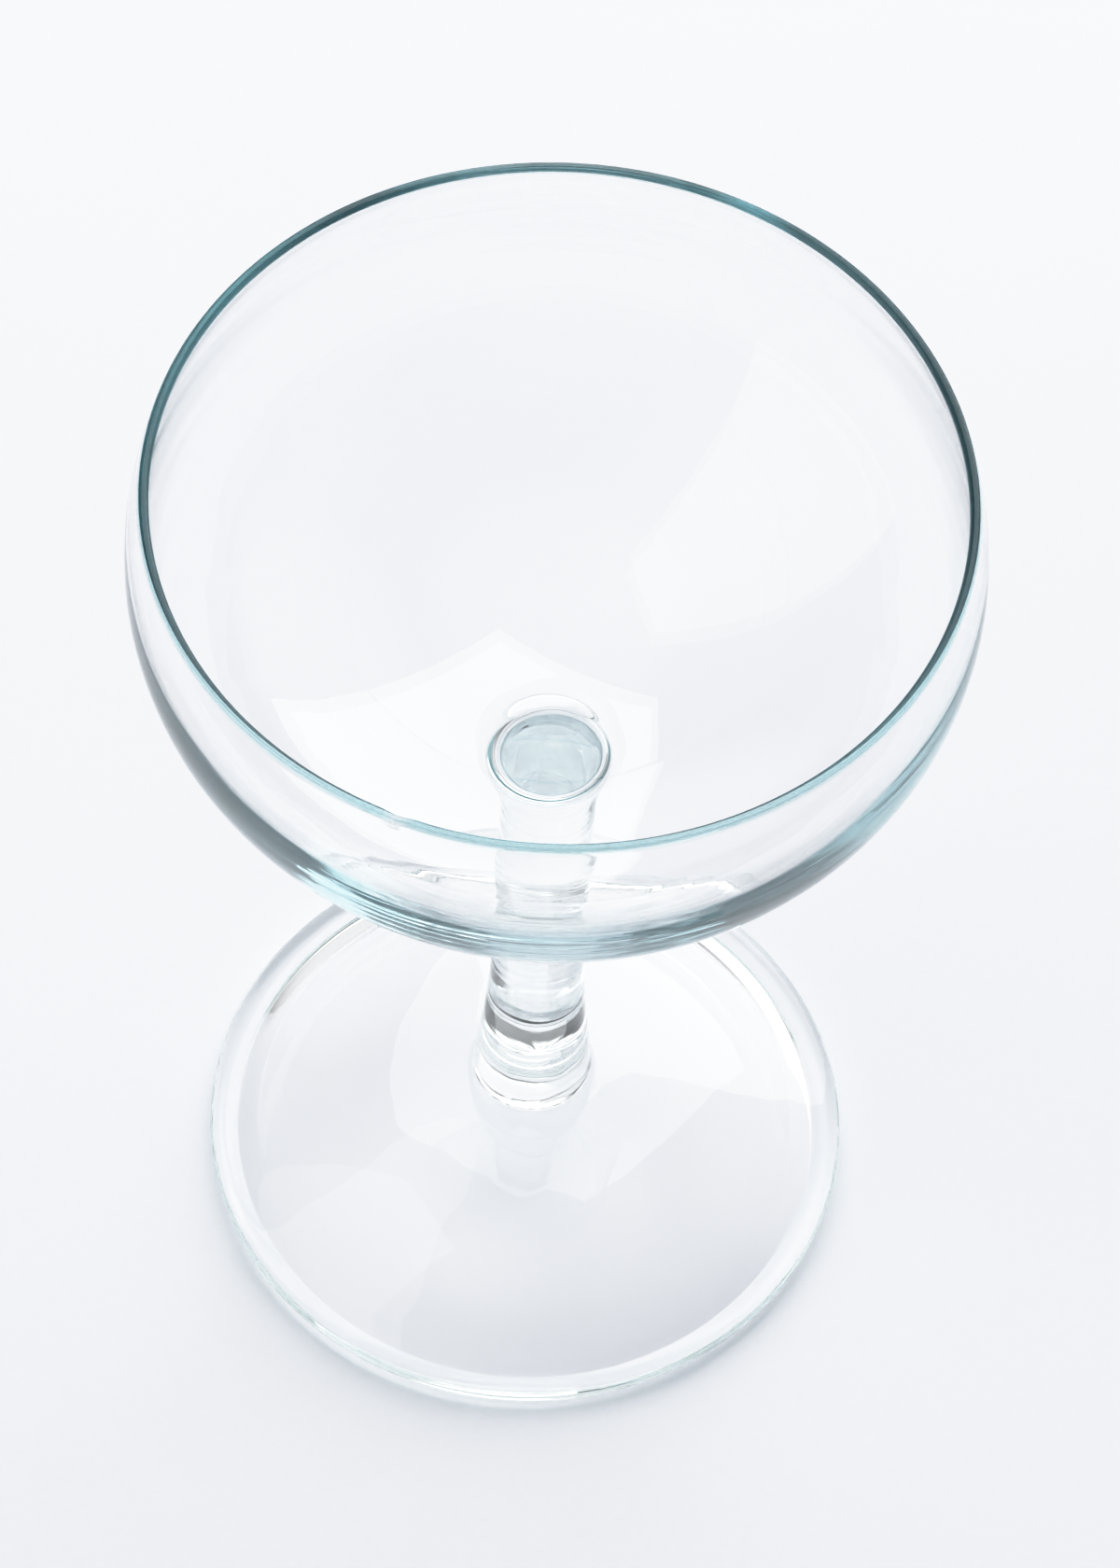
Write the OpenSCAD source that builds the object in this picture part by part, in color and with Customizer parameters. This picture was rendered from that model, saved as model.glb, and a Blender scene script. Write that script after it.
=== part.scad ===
// Stemmed cocktail glass with a wide round bowl, a solid stem and a domed foot.
// Three gathers of glass joined hot: bowl, stem and foot, each its own solid.
// Millimetres, +Z up, the foot rests on the plane of zero height.

/* [Whole glass] */
// Height from the table to the top of the lip
glass_h = 143.9; // [125:0.1:165]

/* [Bowl] */
// Outside diameter at the widest line of the bowl
bowl_d = 98.7; // [80:0.1:118]
// How far the lip stands in from the widest line
tuck = 1.85; // [0.5:0.05:4]
// Drop from the top of the lip to the widest line
widest_drop = 12.2; // [8:0.1:16]
// Depth of the bowl under its widest line, as a share of its diameter
belly_share = 0.4235; // [0.38:0.0005:0.46]
// Radius of the side where it turns under, as a share of the diameter
turn_share = 0.301; // [0.24:0.001:0.36]
// Thickness of the rounded lip
lip_t = 1.4; // [1:0.05:2]
// Thickness of the bowl's side at the widest line of its inner face
wall_t = 1.1; // [0.9:0.05:1.8]
// How much higher that line stands than the widest line of the outer face
inside_rise = 1.5; // [0.5:0.1:3]
// Thickness of glass in the middle of the bowl's bottom
floor_t = 3; // [2:0.1:4]
// Radius of the hollow curve where the bowl runs down into its neck
collar_r = 4.2; // [2:0.1:6]
// Length of the short straight neck under that curve
neck_h = 1; // [0.5:0.1:3]

/* [Stem] */
// Diameter of the straight part of the stem
stem_d = 12; // [9:0.1:15]
// How much further out the stem stands at its seam with the foot
stem_spread = 0.85; // [0.4:0.05:2]
// Height of that seam above the table
seam_h = 27.4; // [23:0.1:33]
// Height over which the stem spreads down to the seam
flare_h = 18.5; // [10:0.1:28]
// Radius of the fine groove left around the seam
groove_r = 0.5; // [0.3:0.05:0.9]
// Depth of that groove
groove_depth = 0.25; // [0.1:0.05:0.3]

/* [Foot] */
// Outside diameter of the foot
foot_d = 82.3; // [66:0.1:98]
// Thickness of the rounded edge of the foot
edge_t = 5.2; // [4:0.1:6.5]
// Slope of the foot's top, in degrees
foot_slope = 23; // [19:0.5:27]
// Diameter of the rounded crown in the middle of that slope
cap_d = 28; // [24:0.5:34]
// How much further out the foot's collar stands at the crown than at the seam
boss_spread = 0.8; // [0.4:0.05:2]
// Radius of the hollow curve between collar and crown
boss_fillet_r = 1.2; // [0.8:0.1:3]
// Thickness of glass between the hollow under the foot and the crown
foot_t = 6; // [4.5:0.1:8]
// Width of the flat ring that the foot rests on
rest_w = 1.8; // [1:0.1:4]

/* [Hidden] */
$fn = 96;
glass_colour = [0.72, 0.88, 0.86, 0.4];

// Heights up the bowl
widest_z = glass_h - widest_drop;
low_z = widest_z - belly_share * bowl_d;
floor_z = low_z + floor_t;

// Arc above the widest line: it runs through that line and the lip
top_r = (widest_drop ^ 2 + tuck ^ 2) / (2 * tuck);
top_centre = [bowl_d / 2 - top_r, widest_z];

// Arc under the widest line
turn_r = turn_share * bowl_d;
turn_centre = [bowl_d / 2 - turn_r, widest_z];

// Radius of an arc centred on the axis, with its lowest point at height z,
// that runs smoothly into a turn of radius r about the point mid
function low_r(mid, r, z) =
    (r ^ 2 - mid.x ^ 2 - (z - mid.y) ^ 2) / (2 * (z - mid.y + r));

out_low_r = low_r(turn_centre, turn_r, low_z);

// Rounded lip: a bead whose top is the top of the glass
lip_r = lip_t / 2;
lip_turn = asin((widest_drop - lip_r) / (top_r - lip_r));
lip_way = [cos(lip_turn), sin(lip_turn)];
lip_centre = top_centre + (top_r - lip_r) * lip_way;

// Inner face: its widest line stands higher, so the wall thickens downwards
in_x = bowl_d / 2 - wall_t;
in_widest_z = widest_z + inside_rise;
in_turn_r = turn_r - wall_t;
in_turn_centre = [turn_centre.x, in_widest_z];
in_low_r = low_r(in_turn_centre, in_turn_r, floor_z);

// Arc of the inner face above that line, which touches the lip's bead
lip_in = lip_centre.x - in_x;
lip_up = lip_centre.y - in_widest_z;
in_top_r = (lip_r ^ 2 - lip_in ^ 2 - lip_up ^ 2) / (2 * (lip_in - lip_r));
in_top_centre = [in_x - in_top_r, in_widest_z];

// Hollow curve under the bowl, which touches the bowl's lower arc and the neck
out_low_centre = [0, low_z + out_low_r];
collar_reach = out_low_r + collar_r;
collar_x = stem_d / 2 + collar_r;
collar_centre = [collar_x, out_low_centre.y - sqrt(collar_reach ^ 2 - collar_x ^ 2)];
collar_touch = out_low_centre + (collar_centre - out_low_centre) * out_low_r / collar_reach;

// Plane where bowl and stem are joined
joint_z = collar_centre.y - neck_h;

// Stem: the spread at its lower end is an arc that leaves the straight part smoothly
seam_x = stem_d / 2 + stem_spread;
flare_r = (flare_h ^ 2 + stem_spread ^ 2) / (2 * stem_spread);

// Foot: a slope that runs smoothly into the rounded edge and into the rounded crown
edge_r = edge_t / 2;
edge_centre = [foot_d / 2 - edge_r, edge_r];
slope_out = [sin(foot_slope), cos(foot_slope)];
edge_touch = edge_centre + edge_r * slope_out;
cap_x = cap_d / 2;
cap_touch = [cap_x, edge_touch.y + (edge_touch.x - cap_x) * tan(foot_slope)];
cap_r = cap_x / sin(foot_slope);
cap_centre = [0, cap_touch.y - cap_r * cos(foot_slope)];
crown_h = cap_centre.y + cap_r;

// Hollow under the foot
hollow_h = crown_h - foot_t;
hollow_x = edge_centre.x - rest_w;
hollow_r = (hollow_x ^ 2 + hollow_h ^ 2) / (2 * hollow_h);

// Hollow curve between collar and crown, touching both
boss_top = [seam_x, seam_h];
boss_side = [boss_spread, crown_h - seam_h];
boss_way = boss_side / norm(boss_side);
boss_out = [-boss_way.y, boss_way.x];
boss_start = boss_top + boss_fillet_r * boss_out - cap_centre;
boss_along = boss_start * boss_way;
boss_past = boss_start * boss_start - (cap_r + boss_fillet_r) ^ 2;
boss_run = -boss_along - sqrt(boss_along ^ 2 - boss_past);
fillet_centre = cap_centre + boss_start + boss_run * boss_way;
fillet_boss = fillet_centre - boss_fillet_r * boss_out;
fillet_cap = cap_centre
    + (fillet_centre - cap_centre) * cap_r / (cap_r + boss_fillet_r);

// Half section of the bowl filled in to the axis, under the three arcs of one face
module bowl_fill(top_mid, top_rad, turn_mid, turn_rad, arc_rad, arc_z) {
    arc_mid = [0, arc_z + arc_rad];
    way = (turn_mid - arc_mid) / norm(turn_mid - arc_mid);
    wedge_end = arc_mid + bowl_d * way;
    intersection() {
        translate([0, arc_z])
            square([bowl_d, glass_h - arc_z]);
        union() {
            intersection() {
                translate(top_mid)
                    circle(top_rad);
                translate([0, top_mid.y])
                    square([bowl_d, widest_drop]);
            }
            translate([0, top_mid.y])
                square([max(top_mid.x, wall_t), widest_drop]);
            translate(turn_mid)
                circle(turn_rad);
            intersection() {
                translate(arc_mid)
                    circle(arc_rad);
                polygon([arc_mid, wedge_end, [wedge_end.x, 0], [0, 0]]);
            }
        }
    }
}

// Thin wall of the bowl up to its rounded lip
module bowl_wall() {
    lip_end = top_centre + (top_r + bowl_d) * lip_way;
    intersection() {
        difference() {
            bowl_fill(top_centre, top_r, turn_centre, turn_r, out_low_r, low_z);
            bowl_fill(in_top_centre, in_top_r, in_turn_centre, in_turn_r, in_low_r, floor_z);
        }
        polygon([[0, in_widest_z], in_top_centre, lip_centre, lip_end, [lip_end.x, 0], [0, 0]]);
    }
    translate(lip_centre)
        circle(lip_r);
}

// Neck under the bowl, down to the joint with the stem
module bowl_neck() {
    neck_x = stem_d / 2;
    difference() {
        polygon([[0, joint_z], [neck_x, joint_z], [neck_x, collar_centre.y],
                 collar_centre, collar_touch, [0, collar_touch.y]]);
        translate(collar_centre)
            circle(collar_r);
    }
}

// Ring of the fine groove, cut from both sides of the seam
module seam_groove() {
    translate([seam_x + groove_r - groove_depth, seam_h])
        circle(groove_r);
}

// Sloped disc of the foot with its rounded crown and edge, still solid underneath
module foot_disc() {
    polygon([[0, 0], [edge_centre.x, 0], edge_centre, edge_touch, cap_touch, [0, cap_touch.y]]);
    translate(edge_centre)
        circle(edge_r);
    intersection() {
        translate(cap_centre)
            circle(cap_r);
        translate([0, cap_touch.y])
            square([cap_x, cap_r]);
    }
}

// Collar on the crown, up to the seam with the stem
module foot_collar() {
    difference() {
        polygon([[0, fillet_cap.y], fillet_cap, fillet_centre, fillet_boss, boss_top, [0, seam_h]]);
        translate(fillet_centre)
            circle(boss_fillet_r);
    }
}

module bowl() {
    color(glass_colour)
        rotate_extrude()
            union() {
                bowl_wall();
                bowl_neck();
            }
}

module stem() {
    color(glass_colour)
        rotate_extrude()
            difference() {
                union() {
                    translate([0, seam_h])
                        square([stem_d / 2, joint_z - seam_h]);
                    difference() {
                        translate([0, seam_h])
                            square([seam_x, flare_h]);
                        translate([stem_d / 2 + flare_r, seam_h + flare_h])
                            circle(flare_r);
                    }
                }
                seam_groove();
            }
}

module foot() {
    color(glass_colour)
        rotate_extrude()
            difference() {
                union() {
                    foot_disc();
                    foot_collar();
                }
                translate([0, hollow_h - hollow_r])
                    circle(hollow_r);
                seam_groove();
            }
}

bowl();
stem();
foot();
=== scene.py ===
"""Looks of a stemmed cocktail glass: bowl, stem and foot of clear glass with a faint aqua tint."""

import math
import random

import bmesh
import bpy
from mathutils import Matrix, Vector


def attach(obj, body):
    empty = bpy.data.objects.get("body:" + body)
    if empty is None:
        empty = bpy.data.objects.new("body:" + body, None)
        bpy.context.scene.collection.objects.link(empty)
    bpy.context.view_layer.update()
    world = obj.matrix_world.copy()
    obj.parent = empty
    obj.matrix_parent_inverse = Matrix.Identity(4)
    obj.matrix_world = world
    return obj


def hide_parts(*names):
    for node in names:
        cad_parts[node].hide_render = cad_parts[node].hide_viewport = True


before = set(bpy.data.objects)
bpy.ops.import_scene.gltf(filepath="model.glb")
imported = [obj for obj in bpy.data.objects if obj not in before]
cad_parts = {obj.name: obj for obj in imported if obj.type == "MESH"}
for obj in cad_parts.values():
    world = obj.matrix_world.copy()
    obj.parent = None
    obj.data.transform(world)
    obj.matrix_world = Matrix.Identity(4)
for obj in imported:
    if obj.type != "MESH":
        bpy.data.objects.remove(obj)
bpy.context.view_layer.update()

# Sizes of the glass in millimetres, the same driving sizes as the solids
MM = 0.001
GLASS_H = 143.9
BOWL_D = 98.7
TUCK = 1.85
WIDEST_DROP = 12.2
BELLY_SHARE = 0.4235
TURN_SHARE = 0.301
LIP_T = 1.4
WALL_T = 1.1
INSIDE_RISE = 1.5
FLOOR_T = 3.0
COLLAR_R = 4.2
NECK_H = 1.0
STEM_D = 12.0
STEM_SPREAD = 0.85
SEAM_H = 27.4
FLARE_H = 18.5
GROOVE_R = 0.5
GROOVE_DEPTH = 0.25
FOOT_D = 82.3
EDGE_T = 5.2
FOOT_SLOPE = 23.0
CAP_D = 28.0
BOSS_SPREAD = 0.8
BOSS_FILLET_R = 1.2
FOOT_T = 6.0
REST_W = 1.8

# How far the stem's ends reach into its neighbours, so that no film of air lies in the joint
LAP = 0.02
# Points of an outline that lie closer than this are one point
SAME_POINT = 0.002

# Fineness of the turned meshes: steps around, and lengths of a step along plain and along wavy stretches
AROUND = {"bowl": 320, "stem": 256, "foot": 600}
STEP_LENGTH = 0.8
FINE_STEP = 0.5
MIN_STEPS = 6
SHARP_ANGLE = math.radians(35)

# Camera: distance and elevation to the middle of the foot, and small turns of the frame, in degrees
CAMERA_AIM = 0.0009
CAMERA_DISTANCE = 0.85726
CAMERA_ELEVATION = 60.19
CAMERA_PAN = 0.14
CAMERA_TILT = -3.00
CAMERA_ROLL = -3.18
CAMERA_LENS = 150.0
SENSOR_W = 36.0


# Outlines, as lists of (radius, height) points

def arc(centre, radius, start, end, step=STEP_LENGTH):
    """Points on an arc from one angle to another, in degrees, both ends included."""
    turn = math.radians(end - start)
    steps = max(MIN_STEPS, math.ceil(abs(turn) * radius / step))
    angles = [math.radians(start) + turn * i / steps for i in range(steps + 1)]
    return [(centre[0] + radius * math.cos(a), centre[1] + radius * math.sin(a)) for a in angles]


def line(start, end, step=STEP_LENGTH):
    """Points on a straight line, both ends included."""
    steps = max(1, math.ceil(math.dist(start, end) / step))
    return [tuple(s + (e - s) * i / steps for s, e in zip(start, end)) for i in range(steps + 1)]


def angle_to(centre, point):
    """Direction from a centre to a point, in degrees."""
    return math.degrees(math.atan2(point[1] - centre[1], point[0] - centre[0]))


def chain(*stretches):
    """One outline out of several stretches, with the points where they meet kept once."""
    outline = []
    for stretch in stretches:
        for point in stretch:
            if not outline or math.dist(outline[-1], point) > SAME_POINT:
                outline.append(point)
    return outline


# Bowl, with the radius up to which its bottom is free of waves
CALM_R = 20
widest_z = GLASS_H - WIDEST_DROP
low_z = widest_z - BELLY_SHARE * BOWL_D
floor_z = low_z + FLOOR_T
top_r = (WIDEST_DROP ** 2 + TUCK ** 2) / (2 * TUCK)
top_centre = (BOWL_D / 2 - top_r, widest_z)
turn_r = TURN_SHARE * BOWL_D
turn_centre = (BOWL_D / 2 - turn_r, widest_z)


def low_r(centre, r, z):
    """Radius of an arc centred on the axis, lowest at height z, that runs into a turn of radius r."""
    return (r ** 2 - centre[0] ** 2 - (z - centre[1]) ** 2) / (2 * (z - centre[1] + r))


out_low_r = low_r(turn_centre, turn_r, low_z)
out_low_centre = (0, low_z + out_low_r)

# Lip: a bead that touches the outer and the inner face
lip_r = LIP_T / 2
lip_turn = math.degrees(math.asin((WIDEST_DROP - lip_r) / (top_r - lip_r)))
lip_centre = arc(top_centre, top_r - lip_r, lip_turn, lip_turn)[0]

# Inner face: its widest line stands higher than the outer one, so the wall thickens downwards
in_x = BOWL_D / 2 - WALL_T
in_widest_z = widest_z + INSIDE_RISE
in_turn_r = turn_r - WALL_T
in_turn_centre = (turn_centre[0], in_widest_z)
in_low_r = low_r(in_turn_centre, in_turn_r, floor_z)
in_low_centre = (0, floor_z + in_low_r)
lip_in = lip_centre[0] - in_x
lip_up = lip_centre[1] - in_widest_z
in_top_r = (lip_r ** 2 - lip_in ** 2 - lip_up ** 2) / (2 * (lip_in - lip_r))
in_top_centre = (in_x - in_top_r, in_widest_z)

collar_reach = out_low_r + COLLAR_R
collar_x = STEM_D / 2 + COLLAR_R
collar_centre = (collar_x, out_low_centre[1] - math.sqrt(collar_reach ** 2 - collar_x ** 2))
joint_z = collar_centre[1] - NECK_H


def bowl_outline():
    """From the middle of the inner face over the lip and down the outer face to the neck."""
    inner_turn = angle_to(in_low_centre, in_turn_centre)
    inner_lip = angle_to(in_top_centre, lip_centre)
    outer_turn = angle_to(out_low_centre, turn_centre)
    collar_turn = angle_to(out_low_centre, collar_centre)
    inner_calm = -math.degrees(math.acos(CALM_R / in_low_r))
    outer_calm = -math.degrees(math.acos(CALM_R / out_low_r))
    return chain(
        arc(in_low_centre, in_low_r, -90, inner_calm),
        arc(in_low_centre, in_low_r, inner_calm, inner_turn, FINE_STEP),
        arc(in_turn_centre, in_turn_r, inner_turn, 0, FINE_STEP),
        arc(in_top_centre, in_top_r, 0, inner_lip, FINE_STEP),
        arc(lip_centre, lip_r, inner_lip + 180, lip_turn, FINE_STEP / 2),
        arc(top_centre, top_r, lip_turn, 0, FINE_STEP),
        arc(turn_centre, turn_r, 0, outer_turn, FINE_STEP),
        arc(out_low_centre, out_low_r, outer_turn, outer_calm, FINE_STEP),
        arc(out_low_centre, out_low_r, outer_calm, collar_turn),
        arc(collar_centre, COLLAR_R, collar_turn + 180, 180),
        line((STEM_D / 2, collar_centre[1]), (STEM_D / 2, joint_z)),
        line((STEM_D / 2, joint_z), (0, joint_z)),
    )


# Stem
seam_x = STEM_D / 2 + STEM_SPREAD
flare_r = (FLARE_H ** 2 + STEM_SPREAD ** 2) / (2 * STEM_SPREAD)
flare_centre = (STEM_D / 2 + flare_r, SEAM_H + FLARE_H)
groove_centre = (seam_x + GROOVE_R - GROOVE_DEPTH, SEAM_H)
groove_x = seam_x - GROOVE_DEPTH


def circle_meeting(centre_a, radius_a, centre_b, radius_b):
    """The higher of the two points where two circles cross."""
    gap = math.dist(centre_a, centre_b)
    along = (radius_a ** 2 - radius_b ** 2 + gap ** 2) / (2 * gap)
    across = math.sqrt(radius_a ** 2 - along ** 2)
    way = tuple((b - a) / gap for a, b in zip(centre_a, centre_b))
    middle = tuple(a + along * w for a, w in zip(centre_a, way))
    points = [(middle[0] - s * across * way[1], middle[1] + s * across * way[0]) for s in (1, -1)]
    return max(points, key=lambda point: point[1])


def stem_outline():
    """From the middle of the upper end down the side to the middle of the seam."""
    stem_r = STEM_D / 2
    groove_top = circle_meeting(groove_centre, GROOVE_R, flare_centre, flare_r)
    return chain(
        line((0, joint_z + LAP), (stem_r - LAP, joint_z + LAP)),
        line((stem_r - LAP, joint_z + LAP), (stem_r, joint_z)),
        line((stem_r, joint_z), (stem_r, flare_centre[1]), FINE_STEP),
        arc(flare_centre, flare_r, 180, angle_to(flare_centre, groove_top) % 360, FINE_STEP),
        arc(groove_centre, GROOVE_R, angle_to(groove_centre, groove_top) % 360, 180),
        line((groove_x, SEAM_H), (groove_x - LAP, SEAM_H - LAP)),
        line((groove_x - LAP, SEAM_H - LAP), (0, SEAM_H - LAP)),
    )


# Foot
edge_r = EDGE_T / 2
edge_centre = (FOOT_D / 2 - edge_r, edge_r)
slope = math.radians(FOOT_SLOPE)
edge_touch = (edge_centre[0] + edge_r * math.sin(slope), edge_centre[1] + edge_r * math.cos(slope))
cap_x = CAP_D / 2
cap_touch = (cap_x, edge_touch[1] + (edge_touch[0] - cap_x) * math.tan(slope))
cap_r = cap_x / math.sin(slope)
cap_centre = (0, cap_touch[1] - cap_r * math.cos(slope))
crown_h = cap_centre[1] + cap_r
hollow_h = crown_h - FOOT_T
hollow_x = edge_centre[0] - REST_W
hollow_r = (hollow_x ** 2 + hollow_h ** 2) / (2 * hollow_h)
hollow_centre = (0, hollow_h - hollow_r)

boss_side = Vector((BOSS_SPREAD, crown_h - SEAM_H)).normalized()
boss_out = Vector((-boss_side.y, boss_side.x))
boss_start = Vector((seam_x, SEAM_H)) + BOSS_FILLET_R * boss_out - Vector(cap_centre)
boss_along = boss_start.dot(boss_side)
boss_past = boss_start.length_squared - (cap_r + BOSS_FILLET_R) ** 2
boss_run = -boss_along - math.sqrt(boss_along ** 2 - boss_past)
fillet_centre = tuple(Vector(cap_centre) + boss_start + boss_run * boss_side)
fillet_boss = tuple(Vector(fillet_centre) - BOSS_FILLET_R * boss_out)


def groove_foot():
    """Where the groove runs out into the straight side of the collar."""
    corner = Vector((seam_x, SEAM_H)) - Vector(groove_centre)
    along = corner.dot(boss_side)
    run = -along + math.sqrt(along ** 2 - corner.length_squared + GROOVE_R ** 2)
    return tuple(Vector((seam_x, SEAM_H)) + run * boss_side)


def foot_outline():
    """From the middle of the seam over the slope and the edge to the middle of the hollow."""
    groove_end = groove_foot()
    fillet_turn = angle_to(fillet_centre, cap_centre)
    return chain(
        line((0, SEAM_H), (groove_x, SEAM_H)),
        arc(groove_centre, GROOVE_R, 180, angle_to(groove_centre, groove_end) % 360),
        line(groove_end, fillet_boss, FINE_STEP),
        arc(fillet_centre, BOSS_FILLET_R, angle_to(fillet_centre, fillet_boss) % 360, fillet_turn % 360),
        arc(cap_centre, cap_r, fillet_turn + 180, 90 - FOOT_SLOPE),
        line(cap_touch, edge_touch),
        arc(edge_centre, edge_r, 90 - FOOT_SLOPE, -90),
        line((edge_centre[0], 0), (hollow_x, 0)),
        arc(hollow_centre, hollow_r, angle_to(hollow_centre, (hollow_x, 0)), 90),
    )


# Waves left in the glass by the maker's tools, in millimetres

# Ripples run around the glass: their lengths along the outline and the steepness of each
# Flows run up and across: their lengths, the number of them around the glass and their steepness
WAVES = {
    "bowl": {"ripples": (2.3, 3.1, 4.3, 5.9, 8.3), "steep": 0.004,
             "flows": ((26, 3), (19, 5), (33, 8)), "flow_steep": 0.0012},
    "stem": {"ripples": (1.3, 1.7, 2.3, 3.1, 4.4), "steep": 0.010,
             "flows": ((14, 2), (22, 3), (31, 5)), "flow_steep": 0.006},
    "foot": {"ripples": (6.0, 9.0, 14.0, 21.0), "steep": 0.003,
             "flows": ((30, 5), (22, 8), (17, 13)), "flow_steep": 0.003},
}
# Each wave swells and fades around the glass: by how much, and the least and greatest number of times
SWELL = 0.5
SWELL_BEATS = (1, 4)
# A ripple may climb by one of its lengths in a turn, up or down
RIPPLE_CLIMB = (-1, 1)
WAVE_SEED = 7


def wave_set(node):
    """Waves of a piece: length along, number around, height, start, beats of the swell, their start."""
    rng = random.Random(f"{node}{WAVE_SEED}")
    plan = WAVES[node]
    waves = []
    for length in plan["ripples"]:
        waves.append((length, rng.randint(*RIPPLE_CLIMB), plan["steep"] * length / math.tau))
    for length, count in plan["flows"]:
        waves.append((length, rng.choice((-1, 1)) * count, plan["flow_steep"] * length / math.tau))
    return [
        (*wave, rng.uniform(0, math.tau), rng.randint(*SWELL_BEATS), rng.uniform(0, math.tau))
        for wave in waves
    ]


def wave_rise(waves, along, turn):
    """Height of all waves at a place, never above the plain surface."""
    rise = 0
    for length, count, height, start, beats, beat_start in waves:
        swell = 1 - SWELL / 2 + SWELL / 2 * math.sin(beats * turn + beat_start)
        rise += height * (swell * math.sin(math.tau * along / length + count * turn + start) - 1)
    return rise


def blend(value, low, high):
    """Smooth step from 0 to 1 between two values, which may be in either order."""
    share = min(1, max(0, (value - low) / (high - low)))
    return share * share * (3 - 2 * share)


# Radius of the bowl's side, where the waves are full; they start where the smooth bottom ends
WAVY_R = 34
# Share of the waves left at the top of the lip, and how far under it they are full
LIP_WAVE_SHARE = 0.05
LIP_CALM_H = 4.2
# Width of the foot's outer part over which the waves end, and height above the table where they are full
EDGE_CALM_W = 5.2
REST_CALM_H = 2.0
# Length beside a joint over which the waves fade
JOINT_CALM_H = 1.0


def wave_strength(node, radius, height):
    """Share of the waves that shows at a place of a piece."""
    if node == "bowl":
        lip_share = 1 - (1 - LIP_WAVE_SHARE) * blend(height, GLASS_H - LIP_CALM_H, GLASS_H)
        return blend(radius, CALM_R, WAVY_R) * lip_share
    if node == "stem":
        seam_share = blend(height, SEAM_H, SEAM_H + JOINT_CALM_H)
        return seam_share * blend(height, joint_z, joint_z - JOINT_CALM_H)
    edge_share = 1 - blend(radius, edge_centre[0] - EDGE_CALM_W, edge_centre[0])
    return edge_share * blend(height, 0, REST_CALM_H) * blend(height, SEAM_H, SEAM_H - JOINT_CALM_H)


# Small chip in the lip: where it lies around the glass, its width and its depth
CHIP_TURN = math.radians(-109.9)
CHIP_W = 2.4
CHIP_DEPTH = 0.4


def chip(height, turn):
    """How much of the lip is gone at a place."""
    away = (turn - CHIP_TURN + math.pi) % math.tau - math.pi
    across = 2 * away * lip_centre[0] / CHIP_W
    return CHIP_DEPTH * math.exp(-across ** 2) * blend(height, GLASS_H - LIP_T, GLASS_H - lip_r)


# The stem stands a little to the right of the axis: heights and how far it is off there
# The shift starts in the crown, is full in the collar and ends inside the bowl's bottom
SHIFT_START_H = 15
SHIFT_FULL_H = 18.5
SHIFT_END_SHARE = 2 / 3
STEM_OFF = (
    (SHIFT_START_H, 0.0),
    (SHIFT_FULL_H, 0.40),
    (SEAM_H, 0.42),
    (collar_centre[1], 0.65),
    (low_z + SHIFT_END_SHARE * FLOOR_T, 0.0),
)


def stem_off(height):
    """How far the glass is off the axis at a height."""
    for (low, low_off), (high, high_off) in zip(STEM_OFF, STEM_OFF[1:]):
        if low <= height < high:
            return low_off + (high_off - low_off) * blend(height, low, high)
    return 0


# Turned meshes

def running_lengths(outline):
    """Length along an outline up to each of its points."""
    lengths = [0]
    for start, end in zip(outline, outline[1:]):
        lengths.append(lengths[-1] + math.dist(start, end))
    return lengths


def outward(outline, i):
    """Direction out of the glass at a point of an outline that runs with the glass on its right."""
    (r0, h0), (r1, h1) = outline[i - 1], outline[i + 1]
    size = math.dist((r0, h0), (r1, h1))
    return (h0 - h1) / size, (r1 - r0) / size


def turned(node, outline):
    """Closed wavy mesh turned about the Z axis from an outline that starts and ends on the axis."""
    name = f"glass_{node}"
    mesh = bpy.data.meshes.new(name)
    shape = bmesh.new()
    along_layer = shape.verts.layers.float.new("along")
    around = AROUND[node]
    turns = [math.tau * i / around for i in range(around)]
    waves = wave_set(node)
    lengths = running_lengths(outline)

    def vertex(radius, height, turn, length):
        x = radius * math.cos(turn) + stem_off(height)
        point = shape.verts.new((x * MM, radius * math.sin(turn) * MM, height * MM))
        point[along_layer] = length * MM
        return point

    first = vertex(*outline[0], 0, lengths[0])
    last = vertex(*outline[-1], 0, lengths[-1])
    rings = []
    for i in range(1, len(outline) - 1):
        radius, height = outline[i]
        out_r, out_h = outward(outline, i)
        share = wave_strength(node, radius, height)
        ring = []
        for turn in turns:
            rise = share * wave_rise(waves, lengths[i], turn) if share else 0
            gone = chip(height, turn) if node == "bowl" else 0
            ring.append(vertex(radius + rise * out_r, height + rise * out_h - gone, turn, lengths[i]))
        rings.append(ring)
    for i in range(around):
        j = (i + 1) % around
        shape.faces.new((first, rings[0][i], rings[0][j]))
        shape.faces.new((last, rings[-1][j], rings[-1][i]))
        for upper, lower in zip(rings, rings[1:]):
            shape.faces.new((upper[i], lower[i], lower[j], upper[j]))
    bmesh.ops.recalc_face_normals(shape, faces=shape.faces)
    for face in shape.faces:
        face.smooth = True
    shape.to_mesh(mesh)
    shape.free()
    mesh.set_sharp_from_angle(angle=SHARP_ANGLE)
    piece = bpy.data.objects.new(name, mesh)
    bpy.context.scene.collection.objects.link(piece)
    return piece


# Materials

def new_material(name):
    """A material with an emptied node tree, and its tree."""
    material = bpy.data.materials.new(name)
    material.use_nodes = True
    material.node_tree.nodes.clear()
    return material, material.node_tree


def ramp(tree, value, low, high, start, end):
    """Smooth step of a value from one number to another."""
    step = tree.nodes.new("ShaderNodeMapRange")
    step.interpolation_type = "SMOOTHSTEP"
    for socket, number in zip(("From Min", "From Max", "To Min", "To Max"), (low, high, start, end)):
        step.inputs[socket].default_value = number
    tree.links.new(value, step.inputs["Value"])
    return step.outputs["Result"]


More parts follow.
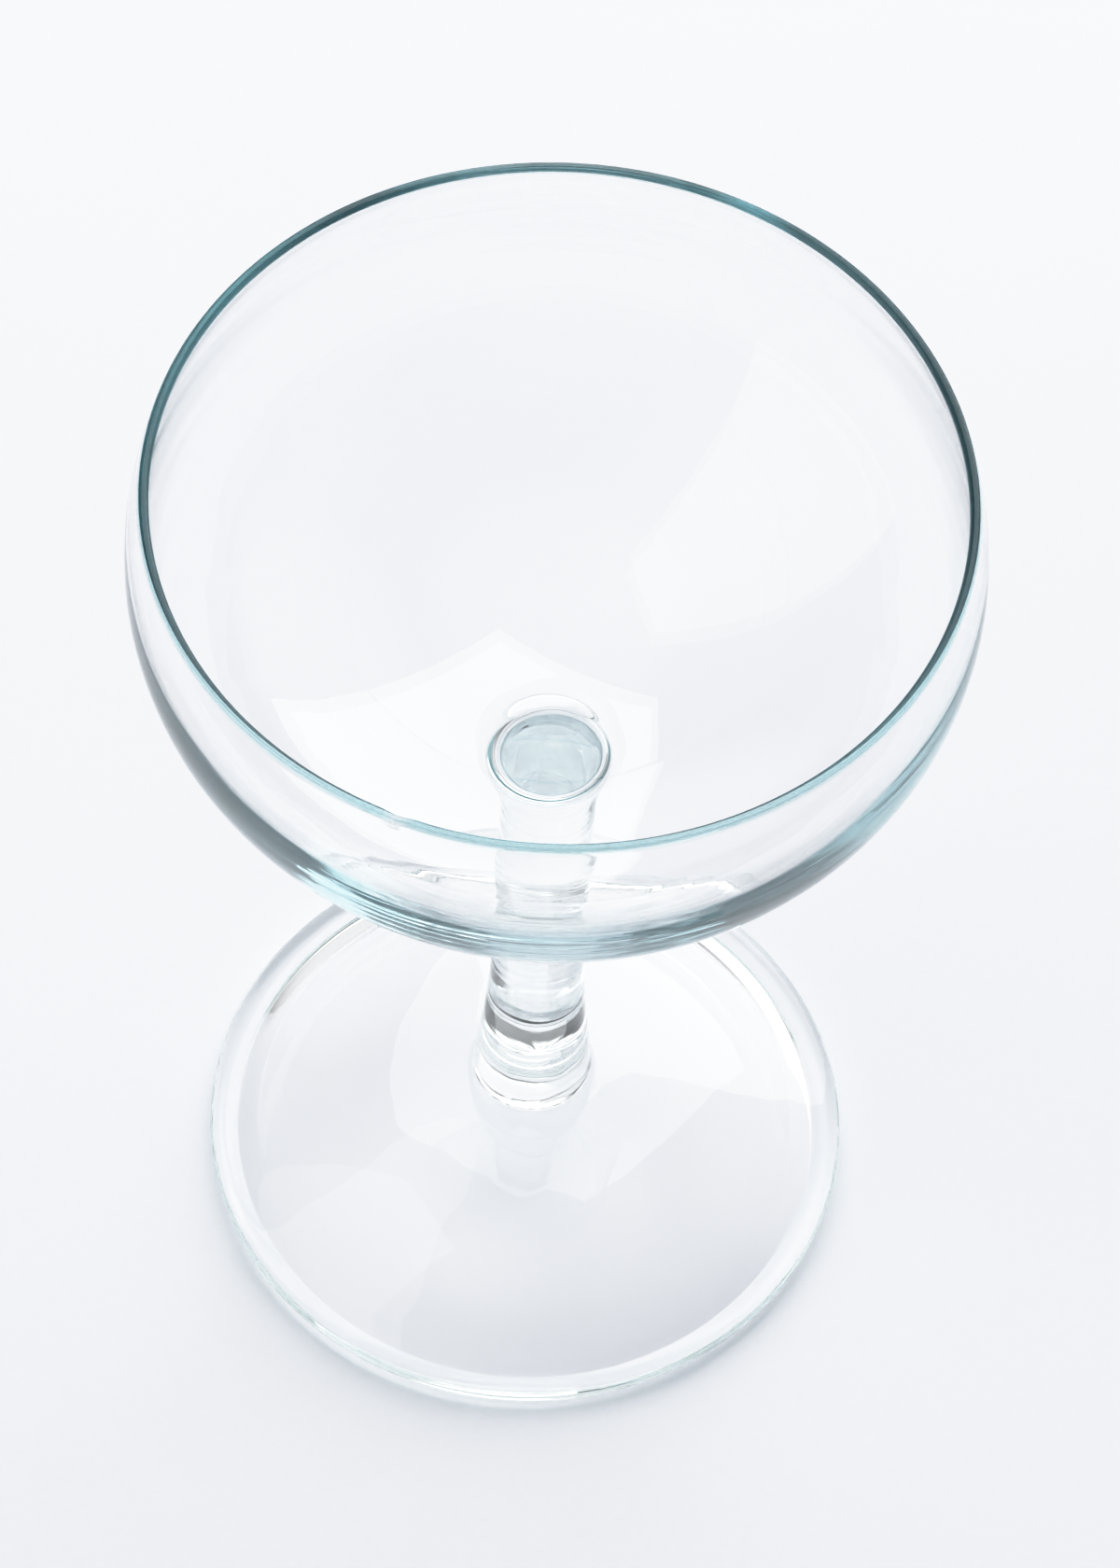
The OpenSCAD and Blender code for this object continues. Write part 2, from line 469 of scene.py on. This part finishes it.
def combine(tree, operation, a, b):
    """Two values put together; the second may be a plain number."""
    node = tree.nodes.new("ShaderNodeMath")
    node.operation = operation
    tree.links.new(a, node.inputs[0])
    if isinstance(b, (int, float)):
        node.inputs[1].default_value = b
    else:
        tree.links.new(b, node.inputs[1])
    return node.outputs["Value"]


def noise(tree, vector, scale, detail=2.0):
    """Soft random value; the scale is in features per metre."""
    node = tree.nodes.new("ShaderNodeTexNoise")
    node.inputs["Scale"].default_value = scale
    node.inputs["Detail"].default_value = detail
    tree.links.new(vector, node.inputs["Vector"])
    return node.outputs["Fac"]


def mixed_colour(tree, share, first, second):
    """Colour that runs from one to another with a value."""
    node = tree.nodes.new("ShaderNodeMix")
    node.data_type = "RGBA"
    tree.links.new(share, node.inputs["Factor"])
    node.inputs["A"].default_value = (*first, 1)
    node.inputs["B"].default_value = (*second, 1)
    return node.outputs["Result"]


def streaked(tree, across_scale, along_scale):
    """Coordinates whose features are long around the glass and short along its outline."""
    nodes, links = tree.nodes, tree.links
    place = nodes.new("ShaderNodeTexCoord").outputs["Object"]
    split = nodes.new("ShaderNodeSeparateXYZ")
    links.new(place, split.inputs[0])
    along = nodes.new("ShaderNodeAttribute")
    along.attribute_name = "along"
    join = nodes.new("ShaderNodeCombineXYZ")
    links.new(combine(tree, "MULTIPLY", split.outputs["X"], across_scale), join.inputs["X"])
    links.new(combine(tree, "MULTIPLY", split.outputs["Y"], across_scale), join.inputs["Y"])
    links.new(combine(tree, "MULTIPLY", along.outputs["Fac"], along_scale), join.inputs["Z"])
    return join.outputs["Vector"], place, split.outputs["Z"]


# Fine streaks and dimples of the surface: features per metre and depth in metres
STREAKS_AROUND = 15
STREAKS_ALONG = 900
STREAK_DEPTH = {"bowl": 0.000001, "stem": 0.000002, "foot": 0.0000002}
DIMPLES = 260
DIMPLE_DEPTH = 0.0000006
# Faint smears left by wiping: features per metre and their greatest roughness
SMEARS = 35
SMEAR_DETAIL = 4
SMEAR_ROUGHNESS = 0.012
# Values of the noise where a smear starts and where it is full
SMEAR_START = 0.52
SMEAR_FULL = 0.75
# Painted shade: the lip's base colour is a stronger aqua than the wall, standing in for the deeper colour
# of light that runs along the rim, most at its top and down to this far under it
LIP_PAINTED_SHADE = (0.38, 0.65, 0.68)
LIP_PAINTED_SHADE_H = 0.0009
CLEAR = (1, 1, 1)
GLASS_IOR = 1.52


def glass(name, body_colour, density_and_shade, lip_painted_shade, streak_depth):
    """Clear glass with a tinted body, painted shade at the lip, fine streaks, dimples and faint smears."""
    material, tree = new_material(name)
    nodes, links = tree.nodes, tree.links
    streak_place, place, height = streaked(tree, STREAKS_AROUND, STREAKS_ALONG)

    shader = nodes.new("ShaderNodeBsdfPrincipled")
    shader.inputs["Transmission Weight"].default_value = 1
    shader.inputs["IOR"].default_value = GLASS_IOR
    # Painted shade: the base colour turns to the lip's stronger aqua over the top of the lip
    lip_share = ramp(tree, height, GLASS_H * MM - LIP_PAINTED_SHADE_H, GLASS_H * MM, 0, 1)
    links.new(mixed_colour(tree, lip_share, CLEAR, lip_painted_shade), shader.inputs["Base Color"])
    smears = noise(tree, place, SMEARS, SMEAR_DETAIL)
    smear = ramp(tree, smears, SMEAR_START, SMEAR_FULL, 0, SMEAR_ROUGHNESS)
    links.new(smear, shader.inputs["Roughness"])

    dimples = nodes.new("ShaderNodeBump")
    dimples.inputs["Distance"].default_value = DIMPLE_DEPTH
    links.new(noise(tree, place, DIMPLES), dimples.inputs["Height"])
    streaks = nodes.new("ShaderNodeBump")
    streaks.inputs["Distance"].default_value = streak_depth
    links.new(noise(tree, streak_place, 1), streaks.inputs["Height"])
    links.new(dimples.outputs["Normal"], streaks.inputs["Normal"])
    links.new(streaks.outputs["Normal"], shader.inputs["Normal"])

    # Aqua body of the glass; its density per piece is partly painted shade
    body = nodes.new("ShaderNodeVolumeAbsorption")
    body.inputs["Color"].default_value = (*body_colour, 1)
    body.inputs["Density"].default_value = density_and_shade
    out = nodes.new("ShaderNodeOutputMaterial")
    links.new(shader.outputs[0], out.inputs["Surface"])
    links.new(body.outputs[0], out.inputs["Volume"])
    return material


# Paper: its colour where it is lightest and darkest, its fibres and broad clouds in features per metre
PAPER_LIGHT = (0.903, 0.913, 0.954)
PAPER_DARK = (0.888, 0.898, 0.939)
PAPER_FIBRES = 900
PAPER_CLOUDS = 14
PAPER_DETAIL = 3
PAPER_DEPTH = 0.00002
# Values of the noise where the paper is darkest and lightest, and its least and greatest roughness
PAPER_SPREAD = (0.3, 0.7)
PAPER_ROUGHNESS = (0.85, 1)


def paper(name):
    """Matt white paper with faint fibres and clouds."""
    material, tree = new_material(name)
    nodes, links = tree.nodes, tree.links
    place = nodes.new("ShaderNodeTexCoord").outputs["Object"]
    fibres = noise(tree, place, PAPER_FIBRES, PAPER_DETAIL)
    clouds = noise(tree, place, PAPER_CLOUDS, PAPER_DETAIL)
    shader = nodes.new("ShaderNodeBsdfPrincipled")
    shader.inputs["Specular IOR Level"].default_value = 0
    blotch = combine(tree, "MULTIPLY", combine(tree, "ADD", fibres, clouds), 1 / 2)
    colour = mixed_colour(tree, ramp(tree, blotch, *PAPER_SPREAD, 0, 1), PAPER_DARK, PAPER_LIGHT)
    links.new(colour, shader.inputs["Base Color"])
    links.new(ramp(tree, fibres, 0, 1, *PAPER_ROUGHNESS), shader.inputs["Roughness"])
    grain = nodes.new("ShaderNodeBump")
    grain.inputs["Distance"].default_value = PAPER_DEPTH
    links.new(fibres, grain.inputs["Height"])
    links.new(grain.outputs["Normal"], shader.inputs["Normal"])
    out = nodes.new("ShaderNodeOutputMaterial")
    links.new(shader.outputs[0], out.inputs["Surface"])
    return material


# Pieces
OUTLINES = {"bowl": bowl_outline, "stem": stem_outline, "foot": foot_outline}
# Colour that the body of each piece leaves in the light, and how dense it is; the aqua is the glass's own,
# but colour and density are set piece by piece as painted shade and light, so that the stem looks darker
# and the foot lighter than one glass would
BODY_TINT_AND_SHADE = {
    "bowl": ((0.0, 0.30, 0.36), 8.0),
    "stem": ((0.0, 0.22, 0.27), 7.3),
    "foot": ((0.0, 0.40, 0.32), 2.0),
}

for node, outline in OUTLINES.items():
    piece = turned(node, outline())
    # Only the bowl gets the painted shade at its lip
    lip_painted_shade = LIP_PAINTED_SHADE if node == "bowl" else CLEAR
    material = glass(f"clear_glass_{node}", *BODY_TINT_AND_SHADE[node], lip_painted_shade, STREAK_DEPTH[node])
    piece.data.materials.append(material)
    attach(piece, "root")
    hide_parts(node)

# Floor, a hair under the foot so that a film of air lies between them, with its back edge nearer
FLOOR_HALF = 0.8
FLOOR_BACK = 0.33
FLOOR_DROP = 0.00004
floor_mesh = bpy.data.meshes.new("floor")
corners = [
    (-FLOOR_HALF, -FLOOR_HALF),
    (FLOOR_HALF, -FLOOR_HALF),
    (FLOOR_HALF, FLOOR_BACK),
    (-FLOOR_HALF, FLOOR_BACK),
]
floor_mesh.from_pydata([(x, y, -FLOOR_DROP) for x, y in corners], [], [range(len(corners))])
floor = bpy.data.objects.new("floor", floor_mesh)
floor.data.materials.append(paper("white_paper"))
bpy.context.scene.collection.objects.link(floor)


# Lights

UP = Vector((0, 0, 1))


def panel(name, centre, across, down, size, radiance):
    """Flat evenly bright panel: its middle, its two in-plane directions and its two lengths, in metres.

    It shines against the cross product of the two directions.
    """
    light = bpy.data.lights.new(name, "AREA")
    light.shape = "RECTANGLE"
    light.size, light.size_y = size
    light.energy = radiance * math.pi * size[0] * size[1]
    lamp = bpy.data.objects.new(name, light)
    x, y = Vector(across).normalized(), Vector(down).normalized()
    z = x.cross(y)
    lamp.matrix_world = Matrix.Translation(centre) @ Matrix((x, y, z)).transposed().to_4x4()
    bpy.context.scene.collection.objects.link(lamp)


# Large panel at the back right that leans over the glass
KEY_DISTANCE = 0.9
KEY_OUT = Vector((0.338, 0.782, 0.526)).normalized()
KEY_DOWN = Vector((0.316, 0.432, -0.846)).normalized()
KEY_LEFT = KEY_OUT.cross(KEY_DOWN).normalized()
# Its edges to the right and left, and up and down, as shares of its distance
KEY_LEFT_SHARES = (-0.43, 0.72)
KEY_DOWN_SHARES = (-1.2, 0.44)
KEY_LIGHT = 1.77


def key_panel():
    """Panel that lies on its distance from the glass and leans over it."""
    left = [s * KEY_DISTANCE for s in KEY_LEFT_SHARES]
    down = [s * KEY_DISTANCE for s in KEY_DOWN_SHARES]
    centre = KEY_OUT * KEY_DISTANCE + KEY_LEFT * sum(left) / 2 + KEY_DOWN * sum(down) / 2
    size = (left[1] - left[0], down[1] - down[0])
    panel("key_panel", centre, -KEY_LEFT, KEY_DOWN, size, KEY_LIGHT)


# Upright panel at the left, a little to the camera's side: its distance, and its place and reach in degrees
FILL_DISTANCE = 0.6
FILL_AZIMUTH = -108
FILL_HALF_TURN = 26
FILL_TOP = 68
FILL_LIGHT = 0.75


def fill_panel():
    """Upright panel that stands on the floor's plane."""
    turn = math.radians(FILL_AZIMUTH)
    out = Vector((math.sin(turn), math.cos(turn), 0))
    width = 2 * FILL_DISTANCE * math.tan(math.radians(FILL_HALF_TURN))
    height = FILL_DISTANCE * math.tan(math.radians(FILL_TOP))
    centre = out * FILL_DISTANCE + UP * height / 2
    panel("fill_panel", centre, UP.cross(out), UP, (width, height), FILL_LIGHT)


key_panel()
fill_panel()

# Surroundings: an even room with lighter and darker sides, and one plain tone under the horizon
ROOM_LIGHT = 0.31
ROOM_TINT = (0.985, 0.99, 1.0, 1)
# Each lobe: direction, width in degrees and how much it adds to the room's light
LOBES = (
    (Vector((0.80, 0.50, 0.30)), 45, 0.50),
    (Vector((-0.74, 0.39, 0.55)), 36, -0.24),
    (Vector((-0.41, 0.87, 0.28)), 30, 0.50),
    (Vector((0.20, -0.95, 0.25)), 75, -0.20),
    (Vector((-0.73, -0.24, 0.64)), 50, 0.20),
    (Vector((0.0, -0.15, 1.0)), 40, 0.35),
)
UNDER_LIGHT = 0.3
# Upward parts of the way looked in between which the plain tone runs into the room
HORIZON = (-0.03, 0.01)


def surroundings():
    """World whose light depends only on the way looked in."""
    world = bpy.data.worlds.new("studio")
    bpy.context.scene.world = world
    world.use_nodes = True
    tree = world.node_tree
    nodes, links = tree.nodes, tree.links
    nodes.clear()
    way = nodes.new("ShaderNodeTexCoord").outputs["Generated"]

    def along(direction):
        """How far the way looked in lies along a direction."""
        dot = nodes.new("ShaderNodeVectorMath")
        dot.operation = "DOT_PRODUCT"
        dot.inputs[1].default_value = direction.normalized()
        links.new(way, dot.inputs[0])
        return dot.outputs["Value"]

    room = nodes.new("ShaderNodeValue")
    room.outputs[0].default_value = ROOM_LIGHT
    light = room.outputs[0]
    for direction, width, amount in LOBES:
        edge = math.cos(math.radians(width))
        light = combine(tree, "ADD", light, ramp(tree, along(direction), edge, 1, 0, amount))
    upward = along(UP)
    light = combine(tree, "MULTIPLY", light, ramp(tree, upward, *HORIZON, 0, 1))
    light = combine(tree, "ADD", light, ramp(tree, upward, *HORIZON, UNDER_LIGHT, 0))
    back = nodes.new("ShaderNodeBackground")
    back.inputs["Color"].default_value = ROOM_TINT
    out = nodes.new("ShaderNodeOutputWorld")
    links.new(light, back.inputs["Strength"])
    links.new(back.outputs[0], out.inputs["Surface"])


surroundings()

# Camera
elevation = math.radians(CAMERA_ELEVATION)
camera_way = Vector((0, -math.cos(elevation), math.sin(elevation)))
camera_place = Vector((0, 0, CAMERA_AIM)) + camera_way * CAMERA_DISTANCE
camera_data = bpy.data.cameras.new("camera")
camera_data.lens = CAMERA_LENS
camera_data.sensor_width = SENSOR_W
camera = bpy.data.objects.new("camera", camera_data)
camera.matrix_world = (
    Matrix.Translation(camera_place)
    @ Matrix.Rotation(math.radians(90 - CAMERA_ELEVATION), 4, "X")
    @ Matrix.Rotation(math.radians(-CAMERA_PAN), 4, "Y")
    @ Matrix.Rotation(math.radians(-CAMERA_TILT), 4, "X")
    @ Matrix.Rotation(math.radians(-CAMERA_ROLL), 4, "Z")
)
bpy.context.scene.collection.objects.link(camera)
bpy.context.scene.camera = camera

# Light that runs inside the wall of the glass meets very many surfaces
BOUNCES = 300
scene = bpy.context.scene
scene.cycles.max_bounces = BOUNCES
scene.cycles.transmission_bounces = BOUNCES
scene.cycles.glossy_bounces = BOUNCES
scene.cycles.blur_glossy = 0
scene.view_settings.view_transform = "Standard"

# Print tone: the brightness shown as white, the curve that serves all colours, and pairs of
# brightness and tone, deeper in the darks
PRINT_WHITE = 1.10
ALL_COLOURS = 3
PRINT_TONE = ((0.09, 0.07), (0.22, 0.19), (0.435, 0.44), (0.61, 0.69), (0.74, 0.84), (0.94, 0.962))


def print_tone():
    """Tone curve of the view, the same for all three colours."""
    view = scene.view_settings
    view.use_curve_mapping = True
    mapping = view.curve_mapping
    mapping.use_clip = False
    mapping.white_level = (PRINT_WHITE, PRINT_WHITE, PRINT_WHITE)
    curve = mapping.curves[ALL_COLOURS]
    for bright, shown in PRINT_TONE:
        curve.points.new(bright / PRINT_WHITE, shown)
    mapping.update()


print_tone()
